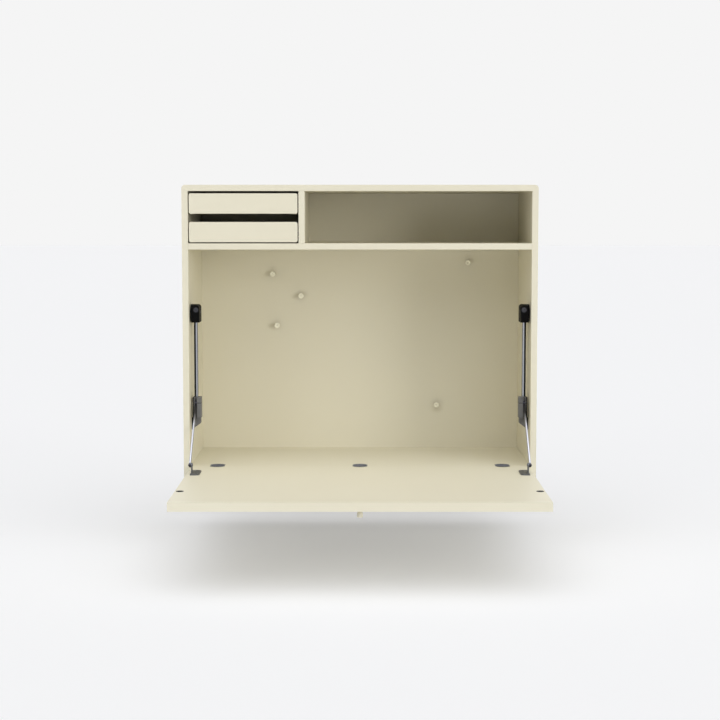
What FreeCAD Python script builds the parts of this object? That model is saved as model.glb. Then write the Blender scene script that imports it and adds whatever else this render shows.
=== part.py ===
import FreeCAD, Part
import os
import re
import Sketcher

# Fold down wall desk: a mitred wall cabinet with a tray bay and an open bay over a
# desk niche that a hinged flap closes.  Two rail stays carry the open flap.
# +X is right, +Y runs into the wall (the wall is the plane Y = 0) and +Z is up.
# The origin is the middle of the wall rail's row of screw holes.

doc = FreeCAD.newDocument("fold_down_wall_desk")
sheet = doc.addObject("Spreadsheet::Sheet", "Sizes")

SIZES = {
    # cabinet
    "overall_width": 696,
    "overall_height": 582,
    "overall_depth": 300,
    "board": 12,
    "outer_corner": 7,
    "hole_line_drop": 44,
    "upper_bay_height": 102,
    "tray_bay_width": 216,
    "back_gap": 20,
    "back_board_thickness": 7,
    "magnet_sheet_thickness": 1,
    # flap, desk floor and their hinges
    "desk_board": 16,
    "flap_side_gap": 3,
    "flap_head_gap": 2.5,
    "seam_gap": 0.5,
    "hinge_inset": 53.5,
    "cup_radius": 15,
    "cup_setback": 7,
    "cup_depth": 11,
    "knuckle_radius": 1.8,
    "knuckle_span": 24,
    "centre_knuckle": 9.6,
    "knuckle_clearance": 0.4,
    "hinge_pin_radius": 1,
    "pin_clearance": 0.05,
    "knob_inset": 26,
    "knob_length": 14.5,
    "knob_head_radius": 5.2,
    "knob_neck_radius": 3.4,
    "knob_head_height": 8,
    "catch_reach": 309,
    "catch_inset": 12.5,
    "catch_radius": 7,
    "catch_thickness": 1.2,
    "catch_stand": 0.4,
    # flap stays
    "rail_radius": 4,
    "rail_wall": 1,
    "rail_inset": 9,
    "rail_setback": 50,
    "cap_height": 34.5,
    "cap_magnet_rise": 25,
    "cap_width": 19,
    "cap_setback": 17,
    "cap_depth": 45,
    "cap_corner": 6,
    "cap_relief": 3,
    "cap_relief_depth": 26,
    "cap_socket": 20,
    "cap_magnet_radius": 5,
    "cap_magnet_depth": 3,
    "slider_top_rise": 134,
    "slider_height": 41.5,
    "slider_side_gap": 3,
    "slider_width": 16.5,
    "slider_setback": 33,
    "slider_depth": 25,
    "slider_play": 0.3,
    "rod_slot_depth": 11,
    "foot_outer_height": 24,
    "foot_inner_height": 11,
    "foot_width": 17.6,
    "foot_setback": 42,
    "foot_depth": 18,
    "foot_socket": 9,
    "rod_radius": 2,
    "eye_radius": 4,
    "eye_thickness": 4.2,
    "eye_side_gap": 0.3,
    "stay_pin_radius": 1.6,
    "slider_pin_drop": 12,
    "slider_pin_setback": 39,
    "slider_pin_length": 11,
    "bracket_reach": 101,
    "bracket_pin_height": 16,
    "bracket_plate": 2.5,
    "bracket_width": 17.5,
    "bracket_length": 53,
    "bracket_corner": 8,
    "ear_radius": 4.5,
    "bracket_pin_head": 3,
    "bracket_pin_head_height": 1,
    "bracket_pin_end": 1,
    # trays and their runners
    "tray_height": 41,
    "tray_head_gap": 3.8,
    "tray_foot_gap": 1.6,
    "tray_front_gap": 1.2,
    "tray_front_board": 10,
    "tray_front_corner": 4.5,
    "tray_slide_gap": 3,
    "tray_side_board": 9,
    "tray_side_height": 34,
    "tray_back_room": 25,
    "tray_base_board": 4,
    "tray_base_lift": 2,
    "runner_height": 8,
    "runner_engagement": 4.5,
    "runner_play": 0.3,
    "runner_start": 8,
    "runner_end_gap": 4,
    # wall hanging
    "wall_rail_length": 640,
    "wall_rail_height": 32,
    "strip_thickness": 2,
    "lip_stand": 8,
    "lip_height": 10,
    "hook_play": 0.3,
    "hook_rail_length": 600,
    "hook_plate_height": 30,
    "outer_hole_spacing": 560,
    "inner_hole_spacing": 240,
    "wall_hole_radius": 2.75,
    "bumper_radius": 8,
    "bumper_inset": 40,
    # loose magnets on the back
    "magnet_face_radius": 5.7,
    "magnet_stem_radius": 4.6,
    "magnet_length": 13,
    "magnet_head_height": 4,
}

MAGNET_PLACES = {
    "one": (-185, 182),
    "two": (-125, 228.5),
    "three": (-176, 291),
    "four": (228.5, 158),
    "five": (163, 461),
}

for row, (alias, number) in enumerate(SIZES.items(), start=1):
    sheet.set("A%d" % row, alias)
    sheet.set("B%d" % row, str(number))
    sheet.setAlias("B%d" % row, alias)
magnet_row = len(SIZES) + 1
ALIASES = set(SIZES)
for place, (across, drop) in MAGNET_PLACES.items():
    for alias, number in (("magnet_%s_across" % place, across), ("magnet_%s_drop" % place, drop)):
        sheet.set("A%d" % magnet_row, alias)
        sheet.set("B%d" % magnet_row, str(number))
        sheet.setAlias("B%d" % magnet_row, alias)
        ALIASES.add(alias)
        magnet_row += 1
doc.recompute()

# Heights and depths that several pieces share, as formulas on the sheet.
HALF = "overall_width / 2"
INNER = "(overall_width / 2 - board)"
TOP = "hole_line_drop"
BOTTOM = "(hole_line_drop - overall_height)"
FRONT = "(-overall_depth)"
BAY_TOP = "(hole_line_drop - board)"
SHELF_TOP = "(hole_line_drop - board - upper_bay_height)"
SHELF_UNDER = "(hole_line_drop - 2 * board - upper_bay_height)"
FLOOR_UNDER = "(hole_line_drop - overall_height + board)"
FLOOR_TOP = "(hole_line_drop - overall_height + board + desk_board)"
BACK_FACE = "(-back_gap - back_board_thickness)"
SHEET_FACE = "(-back_gap - back_board_thickness - magnet_sheet_thickness)"
PIVOT_Y = "(desk_board - overall_depth)"
FLAP_LENGTH = "(overall_height - 3 * board - upper_bay_height - desk_board - flap_head_gap)"
CAP_UNDER = "(hole_line_drop - overall_height + board + desk_board + catch_reach - cap_magnet_rise)"
SLIDER_TOP = "(hole_line_drop - overall_height + board + desk_board + slider_top_rise)"
FOOT_TOP = "(%s - slider_height - slider_play)" % SLIDER_TOP
RAIL_Y = "(rail_setback - overall_depth)"
TRAY_X = "(board + tray_bay_width / 2 - overall_width / 2)"
SLIDER_PIN_Y = "(slider_pin_setback - overall_depth)"
SLIDER_PIN_Z = "(hole_line_drop - overall_height + board + desk_board + slider_top_rise - slider_pin_drop)"
BRACKET_PIN_Y = "(desk_board - overall_depth - bracket_reach)"
BRACKET_PIN_Z = "(hole_line_drop - overall_height + board + desk_board + bracket_pin_height)"

LEFT_RIGHT = (("left", -1), ("right", 1))
HINGES = (("left", -1), ("centre", 0), ("right", 1))

subparts = []


def on_sheet(formula):
    """Write each alias in a formula as a reference to its cell."""
    return re.sub(r"[a-z_]+", lambda word: "Sizes." + word.group(0)
                  if word.group(0) in ALIASES else word.group(0), formula)


def bind(thing, name, formula):
    thing.setExpression(name, on_sheet(formula))


def bind_place(thing, x, y, z):
    for axis, formula in zip("xyz", (x, y, z)):
        bind(thing, "Placement.Base." + axis, formula)


def keep(thing):
    """Count a finished object as a sub-part of its own."""
    subparts.append(thing)
    return thing


def keep_group(name, pieces):
    """Identical pieces as one sub-part of separate solids."""
    group = doc.addObject("Part::Compound", name)
    group.Links = pieces
    keep(group)


def block(name, middle_x, width, low_y, depth, low_z, height):
    """A box given by the middle of its width and its low Y and Z faces."""
    box = doc.addObject("Part::Box", name)
    bind(box, "Length", width)
    bind(box, "Width", depth)
    bind(box, "Height", height)
    bind_place(box, "(%s) - (%s) / 2" % (middle_x, width), low_y, low_z)
    return box


TURNS = {
    "x": FreeCAD.Rotation(FreeCAD.Vector(0, 1, 0), 90),
    "y": FreeCAD.Rotation(FreeCAD.Vector(1, 0, 0), -90),
    "z": FreeCAD.Rotation(),
}


def drum(name, radius, length, x, y, z, along="z"):
    """A cylinder that starts at a point and runs along an axis."""
    cylinder = doc.addObject("Part::Cylinder", name)
    bind(cylinder, "Radius", radius)
    bind(cylinder, "Height", length)
    cylinder.Placement = FreeCAD.Placement(FreeCAD.Vector(), TURNS[along])
    bind_place(cylinder, x, y, z)
    return cylinder


def cross_drum(name, radius, length, middle_x, y, z):
    """A cylinder along X, given by the middle of its length."""
    return drum(name, radius, length, "(%s) - (%s) / 2" % (middle_x, length), y, z, "x")


def union(name, *pieces):
    joined = doc.addObject("Part::MultiFuse", name)
    joined.Shapes = list(pieces)
    joined.Refine = True
    return joined


def cut(name, base, *tools):
    tool = tools[0] if len(tools) == 1 else union(name + "_tools", *tools)
    result = doc.addObject("Part::Cut", name)
    result.Base = base
    result.Tool = tool
    return result


def round_edges(name, base, alias, choose):
    """Round the edges of base that choose picks, with the radius of one cell."""
    doc.recompute()
    radius = float(sheet.get(alias))
    rounded = doc.addObject("Part::Fillet", name)
    rounded.Base = base
    edges = enumerate(base.Shape.Edges, start=1)
    rounded.Edges = [(number, radius, radius) for number, edge in edges if choose(edge)]
    return rounded


def runs_along(edge, axis):
    """True for a straight edge along an axis."""
    if not isinstance(edge.Curve, Part.Line):
        return False
    direction = edge.tangentAt(edge.FirstParameter)
    return abs(abs(getattr(direction, axis)) - 1) < 1e-6


def origin_plane(body, role):
    return [feature for feature in body.Origin.OriginFeatures if feature.Role == role][0]


def outline(body, name, role, corners, lift="0"):
    """A closed sketch through corners, each bound to two formulas."""
    sketch = body.newObject("Sketcher::SketchObject", name)
    sketch.AttachmentSupport = [(origin_plane(body, role), "")]
    sketch.MapMode = "FlatFace"
    bind(sketch, "AttachmentOffset.Base.z", lift)
    count = len(corners)
    ring = [FreeCAD.Vector(float(sheet.get("overall_depth")), 0, 0)]
    turn = FreeCAD.Rotation(FreeCAD.Vector(0, 0, 1), 360 / count)
    for step in range(count - 1):
        ring.append(turn.multVec(ring[-1]))
    for step in range(count):
        sketch.addGeometry(Part.LineSegment(ring[step], ring[(step + 1) % count]), False)
    for step in range(count):
        sketch.addConstraint(Sketcher.Constraint("Coincident", step, 2, (step + 1) % count, 1))
    for step, formulas in enumerate(corners):
        for kind, start, formula in zip(("DistanceX", "DistanceY"), (ring[step].x, ring[step].y), formulas):
            index = sketch.addConstraint(Sketcher.Constraint(kind, -1, 1, step, 1, start))
            bind(sketch, "Constraints[%d]" % index, formula)
    return sketch


def pad(body, name, sketch, length):
    feature = body.newObject("PartDesign::Pad", name)
    feature.Profile = sketch
    bind(feature, "Length", length)
    return feature


def turned(body, name, sketch, axis):
    feature = body.newObject("PartDesign::Revolution", name)
    feature.Profile = sketch
    feature.ReferenceAxis = (sketch, [axis])
    feature.Angle = 360
    return feature


def cabinet_frame():
    """Four boards mitred at 45 degrees, trimmed by one rounded outline."""
    envelope = block("frame_envelope", "0", "overall_width", FRONT, "overall_depth", BOTTOM, "overall_height")
    rounded = round_edges("rounded_envelope", envelope, "outer_corner", lambda edge: runs_along(edge, "y"))
    far = {"left": "-" + HALF, "right": HALF, "top": TOP, "bottom": BOTTOM}
    near = {"left": "-" + INNER, "right": INNER, "top": BAY_TOP, "bottom": FLOOR_UNDER}
    boards = {
        "top_panel": (("left", "top"), ("right", "top")),
        "right_side_panel": (("right", "top"), ("right", "bottom")),
        "bottom_panel": (("right", "bottom"), ("left", "bottom")),
        "left_side_panel": (("left", "bottom"), ("left", "top")),
    }
    for name, (first, second) in boards.items():
        corners = [(far[side], far[level]) for side, level in (first, second)]
        corners += [(near[side], near[level]) for side, level in (second, first)]
        body = doc.addObject("PartDesign::Body", name + "_blank")
        pad(body, name + "_pad", outline(body, name + "_outline", "XZ_Plane", corners), "overall_depth")
        board = doc.addObject("Part::Common", name)
        board.Base = body
        board.Tool = rounded
        keep(board)


def inner_boards():
    """Shelf, divider, back board and the steel sheet that the magnets hold to."""
    depth = "(overall_depth - back_gap - back_board_thickness)"
    keep(block("shelf_panel", "0", "2 * " + INNER, FRONT, depth, SHELF_UNDER, "board"))
    keep(block("divider_panel", "1.5 * board + tray_bay_width - overall_width / 2", "board",
               FRONT, depth, SHELF_TOP, "upper_bay_height"))
    keep(block("back_board", "0", "2 * " + INNER, BACK_FACE, "back_board_thickness",
               FLOOR_UNDER, "overall_height - 2 * board"))
    keep(block("magnet_sheet", "0", "2 * " + INNER, SHEET_FACE, "magnet_sheet_thickness",
               FLOOR_TOP, SHELF_UNDER + " - " + FLOOR_TOP))


def hinge_x(sign):
    return "%d * (overall_width / 2 - board - hinge_inset)" % sign


def cup_bores(owner, y):
    return [drum("%s_bore_%s" % (owner, side), "cup_radius", "cup_depth", hinge_x(sign), y,
                 FLOOR_TOP + " - cup_depth") for side, sign in HINGES]


def desk_floor():
    """Thick board on the bottom panel, level with the open flap."""
    low_y = PIVOT_Y + " + seam_gap / 2"
    blank = block("floor_blank", "0", "2 * " + INNER, low_y, BACK_FACE + " - (%s)" % low_y,
                  FLOOR_UNDER, "desk_board")
    keep(cut("desk_floor", blank, *cup_bores("floor", PIVOT_Y + " + cup_setback")))


def catch_x(sign):
    return "%d * (overall_width / 2 - board - catch_inset)" % sign


def flap_panel():
    """The drop front, which is the desk top when it lies open."""
    blank = block("flap_blank", "0", "2 * (%s - flap_side_gap)" % INNER, PIVOT_Y + " - " + FLAP_LENGTH,
                  FLAP_LENGTH + " - seam_gap / 2", FLOOR_UNDER, "desk_board")
    recesses = [drum("catch_recess_" + side, "catch_radius", "catch_thickness - catch_stand", catch_x(sign),
                     PIVOT_Y + " - catch_reach", FLOOR_TOP + " - catch_thickness + catch_stand")
                for side, sign in LEFT_RIGHT]
    keep(cut("flap_panel", blank, *cup_bores("flap", PIVOT_Y + " - cup_setback"), *recesses))


def catch_plates():
    """Steel discs that the stay heads' magnets hold when the flap is shut."""
    plates = [drum("catch_plate_" + side, "catch_radius", "catch_thickness", catch_x(sign),
                   PIVOT_Y + " - catch_reach", FLOOR_TOP + " - catch_thickness + catch_stand")
              for side, sign in LEFT_RIGHT]
    keep_group("catch_plates", plates)


def knuckle_room(name, middle, span):
    """A notch in a cup's edge for a knuckle of the other cup to turn in."""
    room = "(knuckle_radius + knuckle_clearance)"
    return block(name, middle, span + " + 2 * knuckle_clearance", PIVOT_Y + " - " + room, "2 * " + room,
                 FLOOR_TOP + " - " + room, room)


def flap_hinges():
    """Three cup hinges: one cup each side of the seam, knuckles on the seam line."""
    outer_knuckle = "(knuckle_span - centre_knuckle) / 2 - knuckle_clearance"
    offset = "(knuckle_span + centre_knuckle) / 4 + knuckle_clearance / 2"
    cups = {"floor": [], "flap": []}
    pins = []
    for side, sign in HINGES:
        middle = hinge_x(sign)
        outer = {hand: "%s + %d * (%s)" % (middle, way, offset) for hand, way in LEFT_RIGHT}
        for owner, way in (("floor", 1), ("flap", -1)):
            name = "hinge_%s_cup_%s" % (owner, side)
            cup = drum(name + "_round", "cup_radius", "cup_depth", middle,
                       "%s + %d * cup_setback" % (PIVOT_Y, way), FLOOR_TOP + " - cup_depth")
            beyond_y = PIVOT_Y + (" - 2 * cup_radius + seam_gap / 2" if way == 1 else " - seam_gap / 2")
            beyond = block(name + "_beyond", middle, "2 * cup_radius", beyond_y, "2 * cup_radius",
                           FLOOR_TOP + " - cup_depth", "cup_depth")
            half_cup = cut(name + "_half", cup, beyond)
            if owner == "floor":
                rooms = [knuckle_room(name + "_room", middle, "centre_knuckle")]
                knuckles = [cross_drum("%s_knuckle_%s" % (name, hand), "knuckle_radius", outer_knuckle,
                                       outer[hand], PIVOT_Y, FLOOR_TOP) for hand in outer]
                hole = "hinge_pin_radius"
            else:
                rooms = [knuckle_room("%s_room_%s" % (name, hand), outer[hand], outer_knuckle)
                         for hand in outer]
                knuckles = [cross_drum(name + "_knuckle", "knuckle_radius", "centre_knuckle", middle,
                                       PIVOT_Y, FLOOR_TOP)]
                hole = "hinge_pin_radius + pin_clearance"
            cleared = cut(name + "_cleared", half_cup, *rooms)
            joined = union(name + "_joined", cleared, *knuckles)
            bore = cross_drum(name + "_pin_hole", hole, "knuckle_span + 2 * knuckle_clearance", middle,
                              PIVOT_Y, FLOOR_TOP)
            cups[owner].append(cut(name, joined, bore))
        pins.append(cross_drum("hinge_pin_" + side, "hinge_pin_radius", "knuckle_span", middle,
                               PIVOT_Y, FLOOR_TOP))
    keep_group("hinge_floor_cups", cups["floor"])
    keep_group("hinge_flap_cups", cups["flap"])
    keep_group("hinge_pins", pins)


def flap_knob():
    """Turned knob under the free edge of the open flap."""
    body = doc.addObject("PartDesign::Body", "flap_knob")
    tip = FLOOR_UNDER + " - knob_length"
    corners = [
        ("0", tip),
        ("knob_head_radius", tip),
        ("knob_head_radius", tip + " + knob_head_height"),
        ("knob_neck_radius", tip + " + knob_head_height"),
        ("knob_neck_radius", FLOOR_UNDER),
        ("0", FLOOR_UNDER),
    ]
    lift = "-(%s - %s + knob_inset)" % (PIVOT_Y, FLAP_LENGTH)
    turned(body, "knob_turned", outline(body, "knob_outline", "XZ_Plane", corners, lift), "V_Axis")
    keep(body)


def side_x(sign, inset):
    """X of a point at an inset from a side panel's inner face."""
    return "%d * (overall_width / 2 - board - (%s))" % (sign, inset)


def stay_rail(side, sign):
    low = FOOT_TOP + " - foot_socket"
    length = "%s + cap_socket - (%s)" % (CAP_UNDER, low)
    x = side_x(sign, "rail_inset")
    tube = drum("rail_round_" + side, "rail_radius", length, x, RAIL_Y, low)
    inside = drum("rail_inside_" + side, "rail_radius - rail_wall", length, x, RAIL_Y, low)
    keep(cut("stay_rail_" + side, tube, inside))


def stay_cap(side, sign):
    """Plastic head that holds the rail, and the catch magnet in it, which is returned."""
    blank = block("cap_blank_" + side, side_x(sign, "cap_width / 2"), "cap_width",
                  FRONT + " + cap_setback", "cap_depth", CAP_UNDER, "cap_height")
    inner_x = sign * (float(sheet.get("overall_width")) / 2 - float(sheet.get("board"))
                      - float(sheet.get("cap_width")))

    def inner_top(edge):
        middle = edge.CenterOfMass
        is_top = middle.z > blank.Shape.BoundBox.Center.z
        return is_top and runs_along(edge, "y") and abs(middle.x - inner_x) < 0.01

    rounded = round_edges("cap_rounded_" + side, blank, "cap_corner", inner_top)
    relief = block("cap_relief_" + side, side_x(sign, "cap_relief / 2"), "cap_relief",
                   FRONT + " + cap_setback", "cap_relief_depth", CAP_UNDER, "cap_height")
    socket = drum("cap_socket_" + side, "rail_radius", "cap_socket", side_x(sign, "rail_inset"), RAIL_Y,
                  CAP_UNDER)
    magnet_z = FLOOR_TOP + " + catch_reach"
    recess = drum("cap_recess_" + side, "cap_magnet_radius", "cap_magnet_depth",
                  side_x(sign, "catch_inset"), FRONT + " + cap_setback", magnet_z, "y")
    keep(cut("stay_cap_" + side, rounded, relief, socket, recess))
    return drum("catch_magnet_" + side, "cap_magnet_radius", "cap_magnet_depth",
                side_x(sign, "catch_inset"), FRONT + " + cap_setback", magnet_z, "y")


def stay_foot(side, sign):
    """Wedge-shaped foot that holds the lower end of the rail."""
    body = doc.addObject("PartDesign::Body", "foot_wedge_" + side)
    corners = [
        (side_x(sign, "0"), FOOT_TOP),
        (side_x(sign, "0"), FOOT_TOP + " - foot_outer_height"),
        (side_x(sign, "foot_width"), FOOT_TOP + " - foot_inner_height"),
        (side_x(sign, "foot_width"), FOOT_TOP),
    ]
    lift = "overall_depth - foot_setback - foot_depth"
    sketch = outline(body, "foot_outline_" + side, "XZ_Plane", corners, lift)
    pad(body, "foot_pad_" + side, sketch, "foot_depth")
    socket = drum("foot_socket_" + side, "rail_radius", "foot_socket", side_x(sign, "rail_inset"), RAIL_Y,
                  FOOT_TOP + " - foot_socket")
    keep(cut("stay_foot_" + side, body, socket))


def stay_slider(side, sign):
    """Slider that straddles the rail, with a slot for the rod in its front, and its pin."""
    low = SLIDER_TOP + " - slider_height"
    blank = block("slider_blank_" + side, side_x(sign, "slider_side_gap + slider_width / 2"), "slider_width",
                  FRONT + " + slider_setback", "slider_depth", low, "slider_height")
    rail_x = side_x(sign, "rail_inset")
    track_front = RAIL_Y + " - rail_radius - slider_play"
    track = block("slider_track_" + side, rail_x, "2 * (rail_radius + slider_play)", track_front,
                  FRONT + " + slider_setback + slider_depth - (%s)" % track_front, low, "slider_height")
    slot = block("slider_slot_" + side, rail_x, "eye_thickness + 2 * slider_play",
                 FRONT + " + slider_setback", "rod_slot_depth", low, "slider_height")
    pin_hole = cross_drum("slider_pin_hole_" + side, "stay_pin_radius", "slider_pin_length", rail_x,
                          SLIDER_PIN_Y, SLIDER_PIN_Z)
    keep(cut("stay_slider_" + side, blank, track, slot, pin_hole))
    keep(cross_drum("stay_slider_pin_" + side, "stay_pin_radius", "slider_pin_length", rail_x,
                    SLIDER_PIN_Y, SLIDER_PIN_Z))


def stay_rod(side, sign):
    """Steel rod with a flat eye at each end, leaning back to the slider."""
    x = side_x(sign, "rail_inset")
    rise = "(%s - %s)" % (SLIDER_PIN_Z, BRACKET_PIN_Z)
    run = "(%s - %s)" % (SLIDER_PIN_Y, BRACKET_PIN_Y)
    shank = drum("rod_shank_" + side, "rod_radius", "sqrt(%s ^ 2 + %s ^ 2)" % (rise, run), x,
                 BRACKET_PIN_Y, BRACKET_PIN_Z)
    shank.Placement.Rotation = FreeCAD.Rotation(FreeCAD.Vector(1, 0, 0), -45)
    bind(shank, "Placement.Rotation.Angle", "-atan2(%s; %s)" % (run, rise))
    ends = ((BRACKET_PIN_Y, BRACKET_PIN_Z), (SLIDER_PIN_Y, SLIDER_PIN_Z))
    eyes = [cross_drum("rod_eye_%s_%d" % (side, number), "eye_radius", "eye_thickness", x, y, z)
            for number, (y, z) in enumerate(ends)]
    holes = [cross_drum("rod_hole_%s_%d" % (side, number), "stay_pin_radius + pin_clearance",
                        "3 * eye_thickness", x, y, z) for number, (y, z) in enumerate(ends)]
    keep(cut("stay_rod_" + side, union("rod_whole_" + side, shank, *eyes), *holes))


def ear_inset():
    """Inset of the ear's outer face from the side panel."""
    return "rail_inset + eye_thickness / 2 + eye_side_gap"


def flap_bracket(side, sign):
    """Angle bracket on the flap: a foot plate and an upright ear for the rod's pin."""
    inset = ear_inset()
    plate = block("bracket_plate_" + side, side_x(sign, inset + " + bracket_width / 2"), "bracket_width",
                  BRACKET_PIN_Y + " - bracket_length / 2", "bracket_length", FLOOR_TOP, "bracket_plate")
    plate_x = sign * (float(sheet.get("overall_width")) / 2 - float(sheet.get("board")))

    def inner_corner(edge):
        is_inner = abs(plate_x - edge.CenterOfMass.x) > abs(plate_x - plate.Shape.BoundBox.Center.x)
        return is_inner and runs_along(edge, "z")

    foot = round_edges("bracket_foot_" + side, plate, "bracket_corner", inner_corner)
    ear_x = side_x(sign, inset + " + bracket_plate / 2")
    root = block("ear_root_" + side, ear_x, "bracket_plate", BRACKET_PIN_Y + " - ear_radius",
                 "2 * ear_radius", FLOOR_TOP, "bracket_pin_height")
    tip = cross_drum("ear_tip_" + side, "ear_radius", "bracket_plate", ear_x, BRACKET_PIN_Y, BRACKET_PIN_Z)
    hole = cross_drum("ear_hole_" + side, "stay_pin_radius", "2 * bracket_plate", ear_x,
                      BRACKET_PIN_Y, BRACKET_PIN_Z)
    keep(cut("flap_bracket_" + side, union("bracket_whole_" + side, foot, root, tip), hole))


def bracket_pins():
    """Pins with a head inside each ear, whose other end stands past the rod's eye."""
    pins = []
    for side, sign in LEFT_RIGHT:
        inner = "(%s + bracket_plate)" % ear_inset()
        outer = "(rail_inset - eye_thickness / 2 - eye_side_gap - bracket_pin_end)"
        shank = cross_drum("bracket_pin_shank_" + side, "stay_pin_radius", "%s - %s" % (inner, outer),
                           side_x(sign, "(%s + %s) / 2" % (inner, outer)), BRACKET_PIN_Y, BRACKET_PIN_Z)
        head_x = side_x(sign, inner + " + bracket_pin_head_height / 2")
        head = cross_drum("bracket_pin_head_" + side, "bracket_pin_head", "bracket_pin_head_height",
                          head_x, BRACKET_PIN_Y, BRACKET_PIN_Z)
        pins.append(union("bracket_pin_" + side, shank, head))
    keep_group("bracket_pins", pins)


def flap_stays():
    catch_magnets = []
    for side, sign in LEFT_RIGHT:
        stay_rail(side, sign)
        catch_magnets.append(stay_cap(side, sign))
        stay_foot(side, sign)
        stay_slider(side, sign)
        stay_rod(side, sign)
        flap_bracket(side, sign)
    bracket_pins()
    keep_group("catch_magnets", catch_magnets)


TRAYS = {
    "upper": BAY_TOP + " - tray_head_gap - tray_height",
    "lower": SHELF_TOP + " + tray_foot_gap",
}
GROOVE_Z = "(tray_side_height / 2 - runner_height / 2)"
TRAY_LENGTH = "(overall_depth - tray_front_board - tray_back_room - back_gap - back_board_thickness)"


def tray(name, low_z):
    """Open tray: front, grooved sides, back and base."""
    front = block(name + "_front_blank", TRAY_X, "tray_bay_width - 2 * tray_front_gap",
                  FRONT, "tray_front_board", low_z, "tray_height")
    keep(round_edges("tray_%s_front" % name, front, "tray_front_corner", lambda edge: runs_along(edge, "y")))
    box_y = FRONT + " + tray_front_board"
    sides = []
    for side, sign in LEFT_RIGHT:
        outer = "%s + %d * (tray_bay_width / 2 - tray_slide_gap)" % (TRAY_X, sign)
        blank = block("%s_side_blank_%s" % (name, side), "%s - %d * tray_side_board / 2" % (outer, sign),
                      "tray_side_board", box_y, TRAY_LENGTH, low_z, "tray_side_height")
        groove_depth = "(runner_engagement + runner_play)"
        groove = block("%s_groove_%s" % (name, side), "%s - %d * %s / 2" % (outer, sign, groove_depth),
                       groove_depth, box_y, TRAY_LENGTH, "%s + %s - runner_play" % (low_z, GROOVE_Z),
                       "runner_height + 2 * runner_play")
        sides.append(cut("%s_side_%s" % (name, side), blank, groove))
    keep_group("tray_%s_sides" % name, sides)
    inside = "(tray_bay_width - 2 * tray_slide_gap - 2 * tray_side_board)"
    keep(block("tray_%s_back" % name, TRAY_X, inside, "%s + %s - tray_side_board" % (box_y, TRAY_LENGTH),
               "tray_side_board", low_z, "tray_side_height"))
    keep(block("tray_%s_base" % name, TRAY_X, inside, box_y, TRAY_LENGTH + " - tray_side_board",
               low_z + " + tray_base_lift", "tray_base_board"))


def tray_runners():
    """Strips on the bay's walls that engage the grooves in the trays' sides."""
    strips = []
    width = "(tray_slide_gap + runner_engagement)"
    length = TRAY_LENGTH + " - runner_start - runner_end_gap"
    for name, low_z in TRAYS.items():
        for side, sign in LEFT_RIGHT:
            wall = "%s + %d * tray_bay_width / 2" % (TRAY_X, sign)
            middle = "%s - %d * %s / 2" % (wall, sign, width)
            strips.append(block("runner_%s_%s" % (name, side), middle, width,
                                FRONT + " + tray_front_board + runner_start", length,
                                "%s + %s" % (low_z, GROOVE_Z), "runner_height"))
    keep_group("tray_runners", strips)


def wall_rail():
    """Steel strip on the wall, with an upturned lip that the cabinet hangs on."""
    body = doc.addObject("PartDesign::Body", "wall_rail_strip")
    low, high = "(-wall_rail_height / 2)", "(wall_rail_height / 2)"
    corners = [
        ("0", low),
        ("0", high),
        ("strip_thickness - lip_stand", high),
        ("strip_thickness - lip_stand", high + " + lip_height"),
        ("-lip_stand", high + " + lip_height"),
        ("-lip_stand", high + " - strip_thickness"),
        ("-strip_thickness", high + " - strip_thickness"),
        ("-strip_thickness", low),
    ]
    sketch = outline(body, "wall_rail_outline", "YZ_Plane", corners, "-wall_rail_length / 2")
    pad(body, "wall_rail_pad", sketch, "wall_rail_length")
    holes = []
    for pair in ("outer", "inner"):
        for side, sign in LEFT_RIGHT:
            holes.append(drum("wall_hole_%s_%s" % (pair, side), "wall_hole_radius", "strip_thickness",
                              "%d * %s_hole_spacing / 2" % (sign, pair), "-strip_thickness", "0", "y"))
    keep(cut("wall_rail", body, *holes))


def hook_rail():
    """Steel strip on the cabinet's back, turned down behind the wall rail's lip."""
    body = doc.addObject("PartDesign::Body", "hook_rail")
    lip_top = "(wall_rail_height / 2 + lip_height)"
    bridge_low = lip_top + " + hook_play"
    bridge_high = bridge_low + " + strip_thickness"
    hook_front = "(strip_thickness - lip_stand + hook_play)"
    corners = [
        ("-back_gap", bridge_high),
        (hook_front + " + strip_thickness", bridge_high),
        (hook_front + " + strip_thickness", lip_top + " - lip_height + hook_play"),
        (hook_front, lip_top + " - lip_height + hook_play"),
        (hook_front, bridge_low),
        ("strip_thickness - back_gap", bridge_low),
        ("strip_thickness - back_gap", bridge_high + " - hook_plate_height"),
        ("-back_gap", bridge_high + " - hook_plate_height"),
    ]
    sketch = outline(body, "hook_rail_outline", "YZ_Plane", corners, "-hook_rail_length / 2")
    pad(body, "hook_rail_pad", sketch, "hook_rail_length")
    keep(body)


def wall_bumpers():
    """Round buffers low on the back, which keep the cabinet upright."""
    bumpers = [drum("bumper_" + side, "bumper_radius", "back_gap", side_x(sign, "bumper_inset"),
                    "-back_gap", FLOOR_UNDER + " + bumper_inset", "y") for side, sign in LEFT_RIGHT]
    keep_group("wall_bumpers", bumpers)


def board_magnets():
    """Round magnets with a wider head, which stand on the steel sheet."""
    magnets = []
    for place in MAGNET_PLACES:
        body = doc.addObject("PartDesign::Body", "board_magnet_" + place)
        corners = [
            ("0", "0"),
            ("magnet_stem_radius", "0"),
            ("magnet_stem_radius", "magnet_head_height - magnet_length"),
            ("magnet_face_radius", "magnet_head_height - magnet_length"),
            ("magnet_face_radius", "-magnet_length"),
            ("0", "-magnet_length"),
        ]
        sketch = outline(body, "magnet_outline_" + place, "XY_Plane", corners)
        turned(body, "magnet_turned_" + place, sketch, "V_Axis")
        bind_place(body, "magnet_%s_across" % place, SHEET_FACE, "hole_line_drop - magnet_%s_drop" % place)
        magnets.append(body)
    keep_group("board_magnets", magnets)


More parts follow.
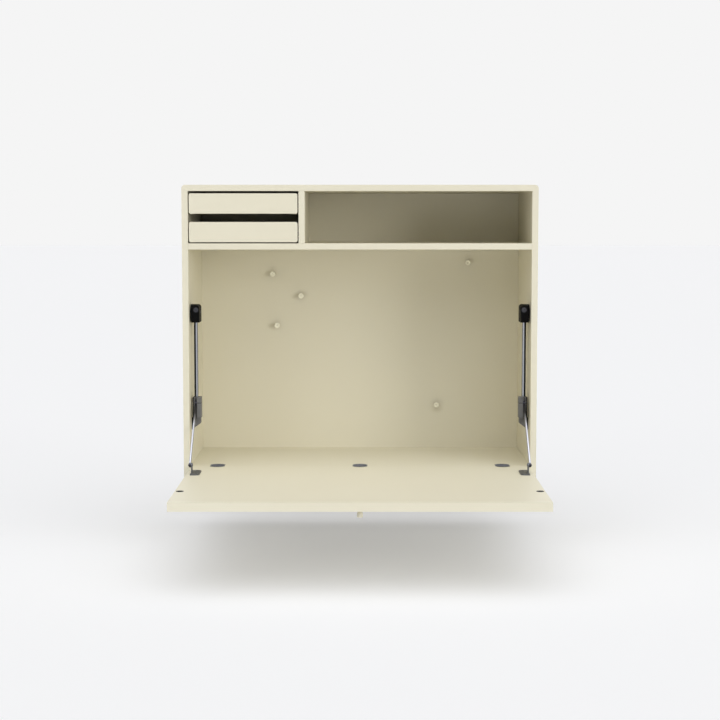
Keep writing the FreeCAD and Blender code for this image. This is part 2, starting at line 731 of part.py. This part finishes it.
def write_parts():
    """Check every object and each sub-part's shape, then write one file each."""
    doc.recompute()
    for thing in doc.Objects:
        bad = [state for state in thing.State if state in ("Invalid", "Error")]
        if bad:
            raise RuntimeError("%s is %s" % (thing.Label, bad[0]))
    for piece in subparts:
        if piece.Shape.isNull() or not piece.Shape.isValid():
            raise RuntimeError("%s has no valid shape" % piece.Label)
    os.makedirs("parts", exist_ok=True)
    for piece in subparts:
        piece.Shape.exportStep("parts/%s.step" % piece.Label)
    print("%d sub-parts written" % len(subparts))


cabinet_frame()
inner_boards()
desk_floor()
flap_panel()
catch_plates()
flap_hinges()
flap_knob()
flap_stays()
for tray_name, tray_low in TRAYS.items():
    tray(tray_name, tray_low)
tray_runners()
wall_rail()
hook_rail()
wall_bumpers()
board_magnets()
write_parts()
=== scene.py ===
from math import radians, tau

import bpy
import numpy as np
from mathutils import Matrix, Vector


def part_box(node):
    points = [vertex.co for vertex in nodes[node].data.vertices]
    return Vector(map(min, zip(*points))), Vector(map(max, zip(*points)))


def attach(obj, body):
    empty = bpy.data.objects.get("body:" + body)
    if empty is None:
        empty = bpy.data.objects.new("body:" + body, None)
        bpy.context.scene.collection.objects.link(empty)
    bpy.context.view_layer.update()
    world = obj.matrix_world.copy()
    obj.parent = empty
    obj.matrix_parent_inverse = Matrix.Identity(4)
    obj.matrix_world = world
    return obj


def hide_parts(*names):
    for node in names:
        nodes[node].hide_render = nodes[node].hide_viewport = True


# Looks of a fold down wall desk: a lacquered cabinet with two trays, an open bay and a
# desk niche, and a flap on cup hinges that two rail stays hold.  Metres throughout.

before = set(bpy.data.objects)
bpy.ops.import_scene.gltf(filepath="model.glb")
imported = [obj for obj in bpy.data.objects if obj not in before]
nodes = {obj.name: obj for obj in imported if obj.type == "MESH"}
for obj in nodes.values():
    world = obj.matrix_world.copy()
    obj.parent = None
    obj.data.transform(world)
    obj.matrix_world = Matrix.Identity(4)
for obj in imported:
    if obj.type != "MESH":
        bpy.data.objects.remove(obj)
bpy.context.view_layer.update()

MM = 0.001
SIDES = {"left": -1, "right": 1}
TRAYS = ("upper", "lower")


# ---------------------------------------------------------------- materials

def linear(red, green, blue):
    """Linear colour of a paint chip given in display values from 0 to 255."""
    shown = np.array((red, green, blue)) / 255
    light = np.where(shown <= 0.04045, shown / 12.92, ((shown + 0.055) / 1.055) ** 2.4)
    return (*light.tolist(), 1.0)


LACQUER = linear(230, 225, 204)
LACQUER_SHADE = linear(227, 221, 199)
TOOL_MARKS = 1500
DRAWN_UPWARDS = (1, 1, 0.02)
ZINC_CRYSTALS = 140


class Finish:
    """A material whose nodes start from points on the object, in metres."""

    def __init__(self, name):
        self.material = bpy.data.materials.new(name)
        self.material.use_nodes = True
        self.tree = self.material.node_tree
        self.shader = self.tree.nodes["Principled BSDF"]
        self.points = self.add("ShaderNodeTexCoord").outputs["Object"]

    def add(self, kind, **settings):
        node = self.tree.nodes.new(kind)
        for name, value in settings.items():
            setattr(node, name, value)
        return node

    def join(self, start, end):
        self.tree.links.new(start, end)

    def set(self, **values):
        for name, value in values.items():
            self.shader.inputs[name.replace("_", " ")].default_value = value

    def stretched(self, scale):
        """Object points scaled by a factor for each axis, to draw a pattern out."""
        mapping = self.add("ShaderNodeMapping")
        mapping.inputs["Scale"].default_value = scale
        self.join(self.points, mapping.inputs["Vector"])
        return mapping.outputs["Vector"]

    def noise(self, cells_per_metre, detail=2.0, scale=None):
        node = self.add("ShaderNodeTexNoise")
        node.inputs["Scale"].default_value = cells_per_metre
        node.inputs["Detail"].default_value = detail
        self.join(self.stretched(scale) if scale else self.points, node.inputs["Vector"])
        return node.outputs["Fac"]

    def along(self, axis, mirrored=False):
        """One coordinate of the object's points, or its size where sides mirror."""
        parts = self.add("ShaderNodeSeparateXYZ")
        self.join(self.points, parts.inputs[0])
        if not mirrored:
            return parts.outputs[axis]
        size = self.add("ShaderNodeMath", operation="ABSOLUTE")
        self.join(parts.outputs[axis], size.inputs[0])
        return size.outputs[0]

    def banded(self, value, start, end, bands):
        """Base colour in bands of (value, colour) between a start and an end."""
        span = self.add("ShaderNodeMapRange")
        span.inputs["From Min"].default_value = start
        span.inputs["From Max"].default_value = end
        self.join(value, span.inputs["Value"])
        ramp = self.add("ShaderNodeValToRGB")
        points = ramp.color_ramp.elements
        for place, (at, colour) in enumerate(bands):
            point = points[place] if place < 2 else points.new(1.0)
            point.position = (at - start) / (end - start)
            point.color = colour
        self.join(span.outputs["Result"], ramp.inputs["Fac"])
        self.join(ramp.outputs["Color"], self.shader.inputs["Base Color"])
        return ramp.outputs["Color"]

    def scored(self, colour, value, at, half_width, tint):
        """Base colour with a fine line where a value is within half a width of a place."""
        near = self.add("ShaderNodeMath", operation="COMPARE")
        near.inputs[1].default_value = at
        near.inputs[2].default_value = half_width
        self.join(value, near.inputs[0])
        node = self.add("ShaderNodeMix", data_type="RGBA")
        node.inputs[7].default_value = tint
        self.join(near.outputs[0], node.inputs["Factor"])
        self.join(colour, node.inputs[6])
        self.join(node.outputs[2], self.shader.inputs["Base Color"])

    def ramp(self, value, low, high):
        """A value moved from the noise's usual span to one between low and high."""
        node = self.add("ShaderNodeMapRange")
        node.inputs["From Min"].default_value = 0.3
        node.inputs["From Max"].default_value = 0.7
        node.inputs["To Min"].default_value = low
        node.inputs["To Max"].default_value = high
        self.join(value, node.inputs["Value"])
        return node.outputs["Result"]

    def colours(self, value, first, second):
        """Base colour that drifts between two tints as a value goes from 0 to 1."""
        node = self.add("ShaderNodeMix", data_type="RGBA")
        node.inputs[6].default_value = first
        node.inputs[7].default_value = second
        self.join(value, node.inputs["Factor"])
        self.join(node.outputs[2], self.shader.inputs["Base Color"])

    def roughness(self, value, low, high):
        self.join(self.ramp(value, low, high), self.shader.inputs["Roughness"])

    def bump(self, height, depth, strength=1.0):
        """Relief of a given depth in metres."""
        node = self.add("ShaderNodeBump")
        node.inputs["Distance"].default_value = depth
        node.inputs["Strength"].default_value = strength
        self.join(height, node.inputs["Height"])
        self.join(node.outputs["Normal"], self.shader.inputs["Normal"])


def lacquer(name, grain, relief, first=LACQUER, second=LACQUER_SHADE):
    """Sprayed satin lacquer: a faint drift of tint and a fine soft orange peel."""
    finish = Finish(name)
    finish.set(Specular_IOR_Level=0.5)
    finish.colours(finish.ramp(finish.noise(2.2, 3), 0, 1), first, second)
    peel = finish.noise(grain, 3)
    finish.roughness(peel, 0.42, 0.5)
    finish.bump(peel, relief, 0.6)
    return finish.material


def plastic(name, colour, worn, roughness, gloss=0.1):
    """Moulded plastic with a fine spark-eroded grain."""
    finish = Finish(name)
    finish.set(Specular_IOR_Level=gloss)
    finish.colours(finish.ramp(finish.noise(60, 4), 0, 1), colour, worn)
    grain = finish.noise(2600, 2)
    finish.roughness(grain, roughness - 0.06, roughness + 0.06)
    finish.bump(grain, 0.04 * MM, 0.5)
    return finish.material


def metal(name, colour, tarnish, roughness, relief=0.02 * MM):
    """Metal with fine tool marks."""
    finish = Finish(name)
    finish.set(Metallic=1.0)
    finish.colours(finish.ramp(finish.noise(90, 3), 0, 1), colour, tarnish)
    marks = finish.noise(TOOL_MARKS, 2)
    finish.roughness(marks, roughness * 0.8, roughness * 1.25)
    finish.bump(marks, relief, 0.5)
    return finish.material


def rail_tube():
    """Satin tube with its reflection painted across it: a dimmer inboard edge, a painted bright
    reflection down the middle and a painted dark reflection along its outboard side.
    """
    finish = Finish("satin_rail_tube_with_painted_reflection")
    finish.set(Metallic=1.0)
    low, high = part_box("stay_rail_right")
    # Painted reflection: the inboard edge colour is dimmer, the bright colour is a painted highlight
    # down the middle, and the last colour is a painted dark reflection on the outboard side.
    edge, bright, painted_dark_reflection = linear(126, 127, 131), linear(172, 175, 182), linear(40, 43, 48)
    bands = [(low.x, edge), (low.x + 2.4 * MM, bright), (low.x + 3.6 * MM, bright),
             (low.x + 4.2 * MM, painted_dark_reflection)]
    finish.banded(finish.along("X", mirrored=True), low.x - MM, high.x + MM, bands)
    marks = finish.noise(TOOL_MARKS, 2, DRAWN_UPWARDS)
    finish.roughness(marks, 0.22, 0.34)
    finish.bump(marks, 0.004 * MM, 0.5)
    return finish.material


def slider_plastic():
    """Grey moulding with painted shade: a near-black band along its outboard side and a fine near-black
    line across it near the top.
    """
    finish = Finish("grey_plastic_with_painted_shade")
    finish.set(Specular_IOR_Level=0.15)
    low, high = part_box("stay_slider_right")
    # Painted shade: the outboard band and the line 11.4 mm below the top are near black where shade
    # falls on the moulding.
    body, painted_shade = linear(116, 116, 117), linear(14, 14, 15)
    bands = [(high.x - 2.8 * MM, body), (high.x - 2.0 * MM, painted_shade)]
    shades = finish.banded(finish.along("X", mirrored=True), low.x, high.x, bands)
    finish.scored(shades, finish.along("Z"), high.z - 11.4 * MM, 0.5 * MM, painted_shade)
    grain = finish.noise(2600, 2)
    finish.roughness(grain, 0.42, 0.54)
    finish.bump(grain, 0.04 * MM, 0.5)
    return finish.material


def rod_steel():
    """Bright drawn rod, with painted shade darkening it towards both eyes."""
    finish = Finish("drawn_rod_steel_with_painted_shade")
    finish.set(Metallic=1.0)
    low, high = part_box("stay_rod_right")
    # The dark colour is painted shade near both ends, where the slider and the bracket hold the rod.
    bright, dark = linear(186, 189, 202), linear(60, 60, 66)
    bands = [(low.z + 7 * MM, dark), (low.z + 9 * MM, bright), (high.z - 40 * MM, bright),
             (high.z - 20 * MM, dark)]
    finish.banded(finish.along("Z"), low.z, high.z, bands)
    marks = finish.noise(TOOL_MARKS, 2, DRAWN_UPWARDS)
    finish.roughness(marks, 0.28, 0.4)
    finish.bump(marks, 0.008 * MM, 0.5)
    return finish.material


def spangle(name):
    """Zinc plate with its flaky crystals, each of its own tint and gloss."""
    finish = Finish(name)
    finish.set(Metallic=1.0)
    cells = finish.add("ShaderNodeTexVoronoi", feature="F1")
    cells.inputs["Scale"].default_value = ZINC_CRYSTALS
    finish.join(finish.points, cells.inputs["Vector"])
    parts = finish.add("ShaderNodeSeparateColor")
    finish.join(cells.outputs["Color"], parts.inputs["Color"])
    finish.colours(parts.outputs["Red"], linear(192, 196, 200), linear(166, 171, 176))
    finish.roughness(parts.outputs["Green"], 0.3, 0.46)
    return finish.material


def magnet_lacquer():
    """Pale lacquer on the magnets' faces, with painted shade down their sides."""
    finish = Finish("satin_lacquer_on_magnets_with_painted_shade")
    low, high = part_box("board_magnets")
    # The side colour is painted shade; it takes over from the pale face colour between 0.6 and 1.6 mm
    # behind the front.
    face, side = linear(250, 246, 226), linear(108, 101, 76)
    bands = [(low.y + 0.6 * MM, face), (low.y + 1.6 * MM, side)]
    finish.banded(finish.along("Y"), low.y, high.y, bands)
    finish.roughness(finish.noise(1300, 3), 0.42, 0.5)
    return finish.material


def build_materials():
    """Every finish, under the name of the material slot that it fills."""
    return {
        "board_lacquer": lacquer("satin_lacquer_on_board", 900, 0.03 * MM),
        "sheet_lacquer": lacquer("satin_lacquer_on_steel", 1300, 0.02 * MM),
        "knob_lacquer": lacquer("satin_lacquer_on_turned_wood", 1100, 0.03 * MM),
        "magnet_lacquer": magnet_lacquer(),
        "hinge_metal": metal("dull_nickel", linear(104, 108, 118), linear(86, 90, 100), 0.42),
        "chrome_tube": rail_tube(),
        "bright_steel": rod_steel(),
        "black_plastic": plastic("black_plastic", linear(9, 9, 9), linear(14, 14, 14), 0.5, 0.05),
        "grey_plastic": slider_plastic(),
        "magnet_grey": metal("magnet_grey", linear(82, 82, 85), linear(68, 68, 72), 0.4),
        "catch_steel": plastic("dark_nickel_plate", linear(34, 34, 40), linear(28, 28, 33), 0.4, 0.0),
        "dark_metal": metal("dark_bracket_metal", linear(110, 112, 116), linear(98, 100, 104), 0.45),
        "galvanised_steel": spangle("zinc_plate"),
        "rubber": plastic("black_rubber", linear(38, 38, 38), linear(46, 46, 45), 0.75),
        "runner_plastic": plastic("runner_plastic", linear(52, 52, 54), linear(58, 58, 60), 0.4),
    }


materials = build_materials()


# ---------------------------------------------------------------- surfaces

def rounded(corners, radii, steps=5):
    """A profile through corners, each turned into an arc of its own radius.

    With p a corner and a, b the points its radius away along both runs, an arc point is
    (1-t)^2 a + 2t(1-t) p + t^2 b for t from 0 to 1.  The two ends stay sharp.
    """
    corners = np.array(corners, float)
    middle = corners[1:-1, None, :]
    before = corners[:-2, None, :] - middle
    after = corners[2:, None, :] - middle
    radius = np.array(radii, float)[:, None, None]
    t = np.linspace(0, 1, steps)[None, :, None]
    start = middle + before * radius / np.linalg.norm(before, axis=2, keepdims=True)
    end = middle + after * radius / np.linalg.norm(after, axis=2, keepdims=True)
    arcs = (1 - t) ** 2 * start + 2 * t * (1 - t) * middle + t ** 2 * end
    return np.vstack((corners[:1], arcs.reshape(-1, 2), corners[-1:]))


def polar(radii, heights, centre, axis):
    """A closed form over a polar grid: centre + r (cos a u + sin a v) + h(r, a) axis.

    The first and last rings lie on the axis and shrink to one point each.
    """
    heights = np.asarray(heights, float)
    rings, around = len(radii), heights.shape[1]
    axis = np.array(axis, float)
    side = np.array((0, 0, 1.0)) if abs(axis[2]) < 0.9 else np.array((0, 1.0, 0))
    across = np.cross(side, axis)
    across /= np.linalg.norm(across)
    side = np.cross(axis, across)
    angle = np.arange(around) * tau / around
    spoke = np.cos(angle)[:, None] * across + np.sin(angle)[:, None] * side
    grid = centre + np.asarray(radii)[:, None, None] * spoke + heights[:, :, None] * axis
    points = np.vstack((grid[0, :1], grid[1:-1].reshape(-1, 3), grid[-1, :1]))
    ring = 1 + np.arange(rings - 3)[:, None] * around
    here = ring + np.arange(around)
    beside = ring + (np.arange(around) + 1) % around
    quads = np.stack((here, beside, beside + around, here + around), -1).reshape(-1, 4)
    first = 1 + np.arange(around)
    last = first + (rings - 3) * around
    base = np.stack((np.zeros(around, int), np.roll(first, -1), first), -1)
    top = np.stack((np.full(around, len(points) - 1), last, np.roll(last, -1)), -1)
    return points, base.tolist() + quads.tolist() + top.tolist()


def turned(profile, centre, axis, around=64):
    """A profile of (radius, height) pairs turned about an axis, from pole to pole."""
    profile = np.asarray(profile)
    return polar(profile[:, 0], np.repeat(profile[:, 1:], around, axis=1), centre, axis)


def piece(name, surfaces, body, slot, replaces=(), material=None):
    """One mesh of several closed surfaces, smooth, with its sharp edges kept."""
    points, faces, count = [], [], 0
    for surface_points, surface_faces in surfaces:
        points.append(surface_points)
        faces += [[corner + count for corner in face] for face in surface_faces]
        count += len(surface_points)
    mesh = bpy.data.meshes.new(name)
    mesh.from_pydata(np.vstack(points).tolist(), [], faces)
    mesh.shade_smooth()
    mesh.set_sharp_from_angle(angle=radians(40))
    mesh.materials.append(material or materials[slot])
    thing = bpy.data.objects.new(name, mesh)
    bpy.context.scene.collection.objects.link(thing)
    weigh_normals(thing)
    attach(thing, body)
    if replaces:
        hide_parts(*replaces)
    return thing


def weigh_normals(thing):
    """Let the large flat faces keep their own direction beside small rounded ones."""
    weighted = thing.modifiers.new("weighted_normals", "WEIGHTED_NORMAL")
    weighted.keep_sharp = True
    weighted.weight = 60


def soften(name, width, segments=3, shaving=0.0):
    """Round a CAD node's sharp edges by a small radius, after drawing its corners in."""
    weld = nodes[name].modifiers.new("weld", "WELD")
    weld.merge_threshold = 0.002 * MM
    if shaving:
        planed = nodes[name].modifiers.new("planed", "DISPLACE")
        planed.mid_level = 0.0
        planed.strength = -shaving
    bevel = nodes[name].modifiers.new("rounding", "BEVEL")
    bevel.width = width
    bevel.segments = segments
    bevel.limit_method = "ANGLE"
    bevel.angle_limit = radians(35)
    bevel.miter_outer = "MITER_ARC"
    weigh_normals(nodes[name])


def centre_of(name):
    low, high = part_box(name)
    return np.array((low + high) / 2)


# ---------------------------------------------------------------- CAD nodes

MAGNETS = ((-185, -138), (-125, -184.5), (-176, -247), (228.5, -114), (163, -417))
FRAME_BOARDS = ("top_panel", "bottom_panel", "left_side_panel", "right_side_panel")
INNER_BOARDS = ("shelf_panel", "divider_panel", "back_board", "flap_panel", "desk_floor")
TRAY_FRONT_SHAVING = 1.1 * MM


def finish_cad_nodes():
    """Give every CAD node the finish of its slot and its small edge rounding."""
    for name, node in nodes.items():
        slot = node.material_slots[0].material.name.split(".")[0]
        node.material_slots[0].material = materials[slot]
    for name in FRAME_BOARDS:
        soften(name, 1.2 * MM)
    for name in INNER_BOARDS:
        soften(name, 0.8 * MM)
    for tray in TRAYS:
        soften("tray_%s_front" % tray, 1.0 * MM, 4, TRAY_FRONT_SHAVING)
        for part in ("sides", "back", "base"):
            soften("tray_%s_%s" % (tray, part), 0.5 * MM, 2)
    for side in SIDES:
        soften("stay_cap_" + side, 0.8 * MM)
        soften("stay_foot_" + side, 0.6 * MM)
        soften("stay_slider_" + side, 0.5 * MM)
        soften("flap_bracket_" + side, 0.5 * MM)
        soften("stay_rod_" + side, 0.4 * MM, 2)
        soften("stay_rail_" + side, 0.2 * MM, 2)


# ---------------------------------------------------------------- screws

def cross_screw(centre, axis, radius, rise):
    """A raised screw head with a cross recess.

    The top is a shallow dome, rise (1 - (r/R)^2), less a recess that is deep where the
    smaller of |x|, |y| is under the slot's half width and the larger under its reach.
    """
    around = 48
    spread = np.linspace(1, 0, 15)
    under = -0.2 * radius
    radii = np.concatenate(([0, radius], radius * spread))
    angle = np.arange(around) * tau / around
    ring = radii[2:, None]
    x, y = np.abs(ring * np.cos(angle)), np.abs(ring * np.sin(angle))
    soft = 0.09 * radius
    narrow = np.clip((0.13 * radius - np.minimum(x, y)) / soft + 0.5, 0, 1)
    reach = np.clip((0.62 * radius - np.maximum(x, y)) / soft + 0.5, 0, 1)
    dome = rise * (1 - (ring / radius) ** 2) + 0 * x
    heights = np.vstack((np.full((2, around), under), dome - 0.5 * radius * narrow * reach))
    return polar(radii, heights, np.array(centre), axis)


# ---------------------------------------------------------------- new pieces

def flap_knob():
    """Turned knob: a flat head with soft edges and a narrower waist up to the board."""
    low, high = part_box("flap_knob")
    centre = centre_of("flap_knob")
    length = high.z - low.z
    head = (high.x - low.x) / 2
    corners = [(0, 0), (head, 0), (head, 0.55 * length), (0.65 * head, 0.72 * length),
               (0.65 * head, length), (0, length)]
    profile = rounded(corners, [1.4 * MM, 1.6 * MM, 1.2 * MM, 0.1 * MM], 8)
    surface = turned(profile, np.array((centre[0], centre[1], low.z)), (0, 0, 1))
    piece("knob_turned", [surface], "flap", "knob_lacquer", ["flap_knob"])


def board_magnets():
    """Magnets: a round stem and a wider head whose face is dished in the middle."""
    low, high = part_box("board_magnets")
    length = high.y - low.y
    head = 5.7 * MM
    stem = 0.8 * head
    corners = [(0, 0), (stem, 0), (stem, 0.68 * length), (head, 0.72 * length), (head, length),
               (0.55 * head, length), (0.3 * head, length - 0.8 * MM), (0, length - 0.8 * MM)]
    profile = rounded(corners, [0.3 * MM, 0.3 * MM, 0.6 * MM, 0.9 * MM, 0.6 * MM, 0.6 * MM], 6)
    surfaces = [turned(profile, np.array((x * MM, high.y, z * MM)), (0, -1, 0)) for x, z in MAGNETS]
    piece("magnets", surfaces, "cabinet", "magnet_lacquer", ["board_magnets"])


def catch_plates():
    """Steel discs let into the flap, with a rounded rim and a small centre mark."""
    low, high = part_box("catch_plates")
    radius = (high.y - low.y) / 2
    depth = (low.y + high.y) / 2
    thick = high.z - low.z
    mark = thick - 0.4 * MM
    corners = [(0, 0), (radius, 0), (radius, thick), (1.2 * MM, thick), (0.5 * MM, mark), (0, mark)]
    profile = rounded(corners, [0.1 * MM, 0.3 * MM, 0.3 * MM, 0.2 * MM], 5)
    surfaces = [turned(profile, np.array((sign * (high.x - radius), depth, low.z)), (0, 0, 1))
                for sign in SIDES.values()]
    piece("catch_discs", surfaces, "flap", "catch_steel", ["catch_plates"])


def catch_magnets():
    """Round magnets in the stay heads, each held by a cross recess in its face."""
    low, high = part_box("catch_magnets")
    radius = (high.z - low.z) / 2
    height = (low.z + high.z) / 2
    deep = high.y - low.y
    corners = [(0, 0), (radius, 0), (radius, 0.6 * deep), (0, 0.6 * deep)]
    profile = rounded(corners, [0.1 * MM, 0.1 * MM], 3)
    forwards = (0, -1, 0)
    surfaces = []
    for sign in SIDES.values():
        centre = sign * (high.x - radius)
        surfaces.append(turned(profile, np.array((centre, high.y, height)), forwards))
        surfaces.append(cross_screw((centre, low.y + 0.2 * MM, height), forwards, radius, 0.15 * MM))
    piece("catch_faces", surfaces, "cabinet", "magnet_grey", ["catch_magnets"])


def wall_bumpers():
    """Rubber buffers that narrow a little towards the wall."""
    low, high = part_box("wall_bumpers")
    deep = high.y - low.y
    radius = (high.z - low.z) / 2
    height = (low.z + high.z) / 2
    corners = [(0, 0), (radius, 0), (radius, 0.35 * deep), (0.8 * radius, deep), (0, deep)]
    profile = rounded(corners, [0.6 * MM, 1.5 * MM, 2 * MM], 6)
    surfaces = [turned(profile, np.array((sign * (high.x - radius), low.y, height)), (0, 1, 0))
                for sign in SIDES.values()]
    piece("rubber_buffers", surfaces, "cabinet", "rubber", ["wall_bumpers"])


def bracket_pins():
    """Rivet pins: a shank with a domed head inside the ear and a clip ring outside."""
    low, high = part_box("bracket_pins")
    height = (low.z + high.z) / 2
    depth = (low.y + high.y) / 2
    head = 0.8 * (high.z - low.z) / 2
    shank = 1.6 * MM
    long = 9.3 * MM
    clip = long - 0.2 * MM
    corners = [(0, 0), (0.6 * head, 0.05 * MM), (head, 0.6 * MM), (head, 1.0 * MM), (shank, 1.0 * MM),
               (shank, clip - 0.6 * MM), (0.85 * head, clip - 0.6 * MM), (0.85 * head, clip),
               (shank, clip), (shank, long), (0, long)]
    radii = [0.3, 0.1, 0.05, 0.05, 0.05, 0.05, 0.1, 0.02, 0.02]
    profile = rounded(corners, [radius * MM for radius in radii], 4)
    surfaces = [turned(profile, np.array((sign * (high.x - long), depth, height)), (sign, 0, 0), 40)
                for sign in SIDES.values()]
    piece("rivet_pins", surfaces, "flap", "bright_steel", ["bracket_pins"], materials["dark_metal"])


def stay_screws():
    """Screws of the brackets, stay heads and feet."""
    bracket_screws, cabinet_screws = [], []
    for side, sign in SIDES.items():
        low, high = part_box("flap_bracket_" + side)
        plate_top = low.z + 2.5 * MM
        middle_x = sign * (abs(low.x + high.x) / 2 - 1.6 * MM)
        for end in (-1, 1):
            spot = (middle_x, (low.y + high.y) / 2 + end * 15 * MM, plate_top)
            bracket_screws.append(cross_screw(spot, (0, 0, 1), 3.4 * MM, 0.7 * MM))
        cap_low, cap_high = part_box("stay_cap_" + side)
        cap_face = cap_high.x if side == "left" else cap_low.x
        spot = (cap_face, cap_low.y + 30 * MM, cap_low.z + 20 * MM)
        cabinet_screws.append(cross_screw(spot, (-sign, 0, 0), 3.2 * MM, 0.6 * MM))
        foot_low, foot_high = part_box("stay_foot_" + side)
        foot_face = foot_high.x if side == "left" else foot_low.x
        spot = (foot_face, (foot_low.y + foot_high.y) / 2, foot_high.z - 5.5 * MM)
        cabinet_screws.append(cross_screw(spot, (-sign, 0, 0), 2.6 * MM, 0.5 * MM))
    piece("bracket_screws", bracket_screws, "flap", "dark_metal")
    piece("stay_screws", cabinet_screws, "cabinet", "dark_metal")


def hinge_screws():
    """One clamping screw in the top of each hinge cup."""
    cup_top = -510 * MM
    for part, body, way in (("floor", "cabinet", 1), ("flap", "flap", -1)):
        low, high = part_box("hinge_%s_cups" % part)
        reach = high.x - 15 * MM
        middle_y = (low.y + high.y) / 2 + way * 2.5 * MM
        screws = [cross_screw((spot, middle_y, cup_top), (0, 0, 1), 3.0 * MM, 0.25 * MM)
                  for spot in (-reach, 0, reach)]
        piece("hinge_%s_screws" % part, screws, body, "hinge_metal")


def hook_rail_screws():
    """Screws along the hook rail that hold it to the back board."""
    low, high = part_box("hook_rail")
    plate = low.y + 2 * MM
    count = 7
    spots = np.linspace(low.x + 20 * MM, high.x - 20 * MM, count)
    screws = [cross_screw((spot, plate, low.z + 7 * MM), (0, 1, 0), 4 * MM, 1.2 * MM) for spot in spots]
    piece("hook_rail_screws", screws, "cabinet", "galvanised_steel")


finish_cad_nodes()
flap_knob()
board_magnets()
catch_plates()
catch_magnets()
wall_bumpers()
bracket_pins()
stay_screws()
hinge_screws()
hook_rail_screws()


# ---------------------------------------------------------------- studio

BACKGROUND = linear(245, 245, 245)
FLOOR_HEIGHT = -0.674
FLOOR_REACH = 40.0
FLOOR_PAINT = (0.924, 0.93, 0.951, 1)
FLOOR_GLOW = 0.27
GLOW_STRENGTH = 1.19
NARROW_LAMP = 30
CAMERA_PLACE = (0, -3.460, -0.027)
CAMERA_DIP = radians(4.91)
CAMERA_LENS = 80.7


def seen_rays(tree):
    """One for rays from the camera, from glossy surfaces or through clear ones."""
    path = tree.nodes.new("ShaderNodeLightPath")
    seen = path.outputs["Is Camera Ray"]
    for kind in ("Is Glossy Ray", "Is Transmission Ray"):
        either = tree.nodes.new("ShaderNodeMath")
        either.operation = "MAXIMUM"
        tree.links.new(seen, either.inputs[0])
        tree.links.new(path.outputs[kind], either.inputs[1])
        seen = either.outputs[0]
    return seen


def studio_world():
    """A pale background where it is seen or mirrored; it gives no light of its own."""
    world = bpy.data.worlds.new("studio")
    world.use_nodes = True
    bpy.context.scene.world = world
    tree = world.node_tree
    tree.nodes.clear()
    unlit = tree.nodes.new("ShaderNodeBackground")
    unlit.inputs["Strength"].default_value = 0.0
    shown = tree.nodes.new("ShaderNodeBackground")
    shown.inputs["Color"].default_value = BACKGROUND
    mix = tree.nodes.new("ShaderNodeMixShader")
    tree.links.new(seen_rays(tree), mix.inputs["Fac"])
    tree.links.new(unlit.outputs[0], mix.inputs[1])
    tree.links.new(shown.outputs[0], mix.inputs[2])
    output = tree.nodes.new("ShaderNodeOutputWorld")
    tree.links.new(mix.outputs[0], output.inputs["Surface"])


def floor():
    """A wide pale floor below the hanging desk, which takes its soft shadow."""
    reach = FLOOR_REACH
    ways = ((-1, -1), (1, -1), (1, 1), (-1, 1))
    corners = [(x * reach, y * reach, FLOOR_HEIGHT) for x, y in ways]
    mesh = bpy.data.meshes.new("floor")
    mesh.from_pydata(corners, [], [(0, 1, 2, 3)])
    thing = bpy.data.objects.new("floor", mesh)
    bpy.context.scene.collection.objects.link(thing)
    material = bpy.data.materials.new("pale_floor")
    material.use_nodes = True
    tree = material.node_tree
    tree.nodes.clear()
    paint = tree.nodes.new("ShaderNodeBsdfDiffuse")
    paint.inputs["Color"].default_value = FLOOR_PAINT
    glow = tree.nodes.new("ShaderNodeEmission")
    glow.inputs["Color"].default_value = BACKGROUND
    glow.inputs["Strength"].default_value = GLOW_STRENGTH
    share = tree.nodes.new("ShaderNodeMath")
    share.operation = "MULTIPLY"
    share.inputs[1].default_value = FLOOR_GLOW
    tree.links.new(seen_rays(tree), share.inputs[0])
    mix = tree.nodes.new("ShaderNodeMixShader")
    tree.links.new(share.outputs[0], mix.inputs["Fac"])
    tree.links.new(paint.outputs[0], mix.inputs[1])
    tree.links.new(glow.outputs[0], mix.inputs[2])
    output = tree.nodes.new("ShaderNodeOutputMaterial")
    tree.links.new(mix.outputs[0], output.inputs["Surface"])
    mesh.materials.append(material)


def lamp(name, towards, energy, spread):
    """A broad sun that shines from a direction, softened over an angle.

    A narrow one isn't mirrored, because low down its glare would bleach the cabinet's top
    for someone behind the desk.
    """
    light = bpy.data.lights.new(name, "SUN")
    light.energy = energy
    light.angle = radians(spread)
    thing = bpy.data.objects.new(name, light)
    thing.rotation_euler = (-Vector(towards)).to_track_quat("-Z", "Y").to_euler()
    thing.visible_glossy = spread > NARROW_LAMP
    bpy.context.scene.collection.objects.link(thing)


def camera():
    """A level camera in front of the desk that dips a little."""
    lens = bpy.data.cameras.new("camera")
    lens.lens = CAMERA_LENS
    lens.sensor_width = 36
    thing = bpy.data.objects.new("camera", lens)
    thing.location = CAMERA_PLACE
    thing.rotation_euler = (radians(90) - CAMERA_DIP, 0, 0)
    bpy.context.scene.collection.objects.link(thing)
    bpy.context.scene.camera = thing


studio_world()
floor()
lamp("overhead_wide", (0, -0.375, 0.927), 1.7, 110)
lamp("overhead", (0, -0.375, 0.927), 1.07, 75)
lamp("right", (0.704, -0.704, 0.09), 0.72, 18)
lamp("right_high", (0.694, -0.583, 0.423), 0.2, 60)
lamp("left", (-0.539, -0.770, 0.342), 0.12, 16)
lamp("behind", (0.2, 0.933, 0.3), 0.2, 60)
camera()
bpy.context.scene.view_settings.view_transform = "Standard"
